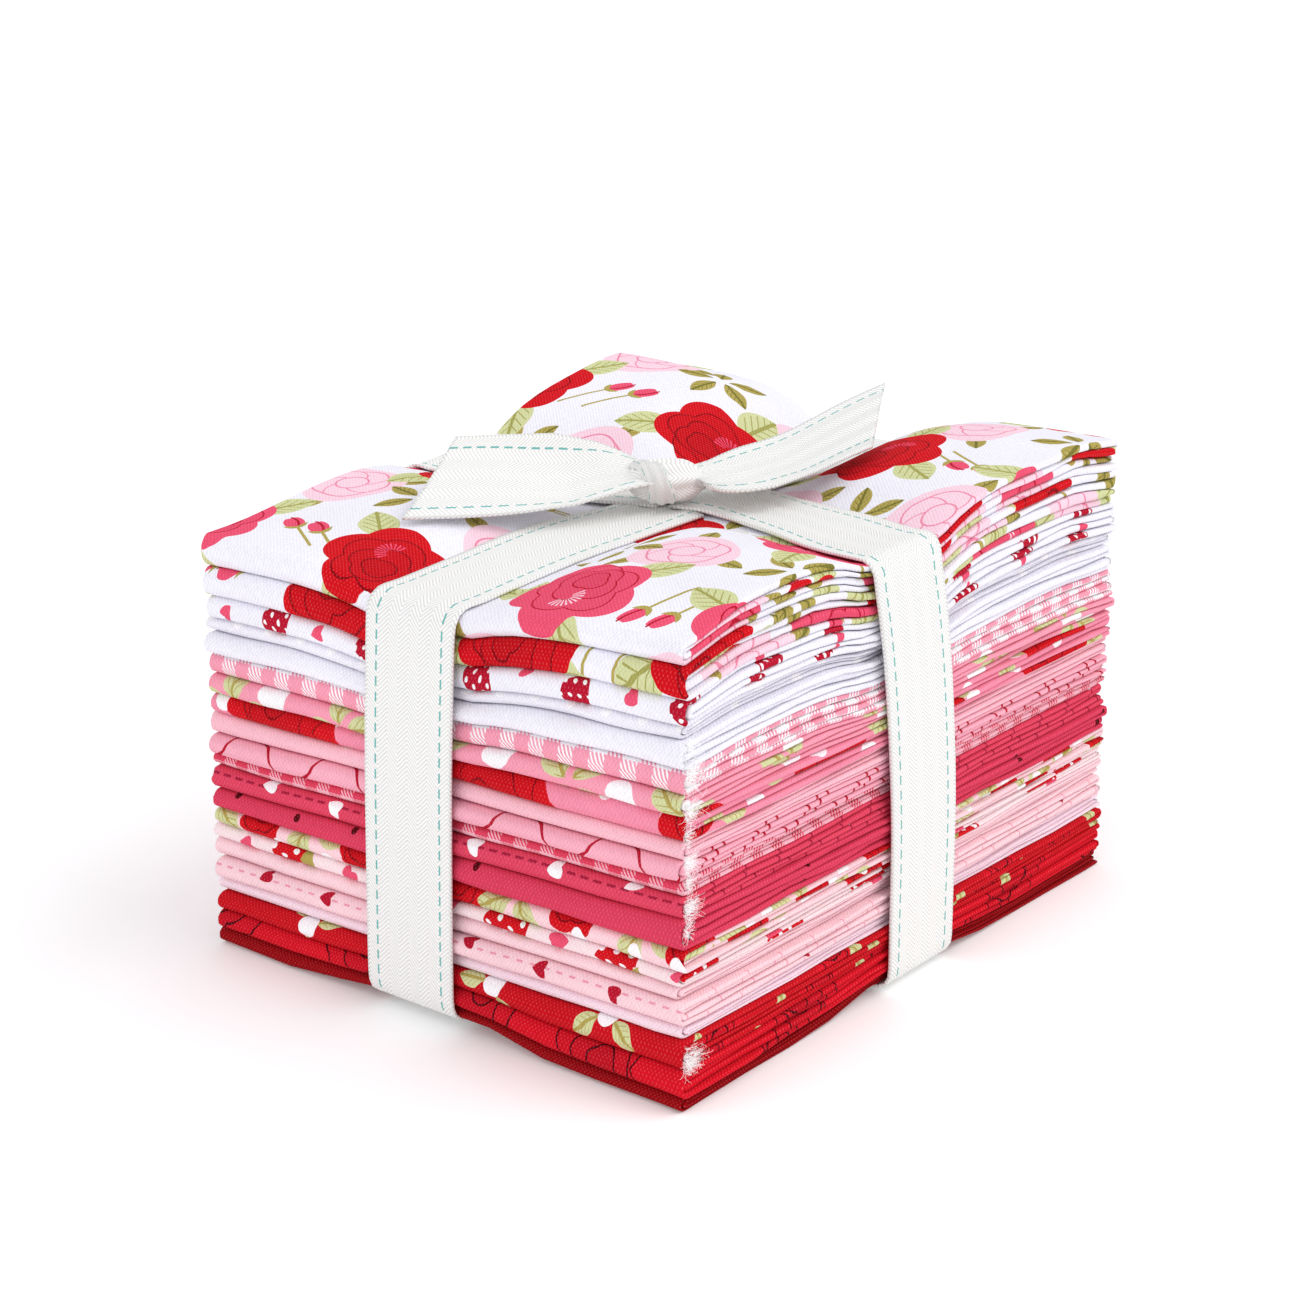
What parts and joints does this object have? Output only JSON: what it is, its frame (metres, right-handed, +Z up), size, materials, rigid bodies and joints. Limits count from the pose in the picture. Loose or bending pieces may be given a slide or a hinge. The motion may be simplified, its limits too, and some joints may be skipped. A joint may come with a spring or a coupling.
{
  "type": "tied bundle of folded fat quarters",
  "caption": "Square-cornered stack of folded printed cotton fat quarters, tied both ways with a flat twill ribbon, a knot and two slanting free ends on top.",
  "frame": {"origin": "middle of the underside, on the surface that the bundle rests on", "axes": "+X along the face that shows the folded layer edges, +Y along the face that shows the smooth folds, +Z up"},
  "size_m": [0.1426, 0.1166, 0.0962],
  "materials": {
    "rose_floral_white": "matt quilting cotton, white with large red and pink roses and green leaves",
    "pink_floral_white": "matt quilting cotton, white with pink and red flowers",
    "berry_white": "matt quilting cotton, white with red berries",
    "tonal_white": "matt quilting cotton, white on white",
    "plain_white": "matt quilting cotton, plain white",
    "pink_gingham": "matt quilting cotton, pink and white gingham",
    "leaf_pink": "matt quilting cotton, pink with green leaves and white dots",
    "red_flower_pink": "matt quilting cotton, pink with large red flowers",
    "small_berry_pink": "matt quilting cotton, light pink with small berries",
    "scallop_pink": "matt quilting cotton, light pink with thin red scallops",
    "red_gingham": "matt quilting cotton, rose red and white gingham",
    "heart_dash_rose": "matt quilting cotton, rose with white hearts and dark dashes",
    "dotted_rose": "matt quilting cotton, rose with small dark dots",
    "leaf_pale_pink": "matt quilting cotton, pale pink with green leaves and red flowers",
    "berry_pale": "matt quilting cotton, pale with red white-dotted berries",
    "plain_pale_pink": "matt quilting cotton, pale pink",
    "heart_dash_pale_pink": "matt quilting cotton, pale pink with red hearts and pink dashes",
    "plain_lilac_pink": "matt quilting cotton, pale lilac pink",
    "floral_red": "matt quilting cotton, red with small white and green flowers",
    "lined_red": "matt quilting cotton, red with dark lines",
    "plain_dark_red": "matt quilting cotton, dark red",
    "twill_ribbon": "off-white cotton twill tape with a dashed green line near each edge"
  },
  "bodies": {
    "root": {"fat_quarter_01": "rose_floral_white", "fat_quarter_02": "pink_floral_white", "fat_quarter_03": "berry_white", "fat_quarter_04": "tonal_white", "fat_quarter_05": "plain_white", "fat_quarter_06": "pink_gingham", "fat_quarter_07": "leaf_pink", "fat_quarter_08": "red_flower_pink", "fat_quarter_09": "small_berry_pink", "fat_quarter_10": "scallop_pink", "fat_quarter_11": "red_gingham", "fat_quarter_12": "heart_dash_rose", "fat_quarter_13": "dotted_rose", "fat_quarter_14": "leaf_pale_pink", "fat_quarter_15": "berry_pale", "fat_quarter_16": "plain_pale_pink", "fat_quarter_17": "heart_dash_pale_pink", "fat_quarter_18": "plain_lilac_pink", "fat_quarter_19": "floral_red", "fat_quarter_20": "lined_red", "fat_quarter_21": "plain_dark_red", "ribbon_tie": "twill_ribbon"}
  },
  "joints": []
}
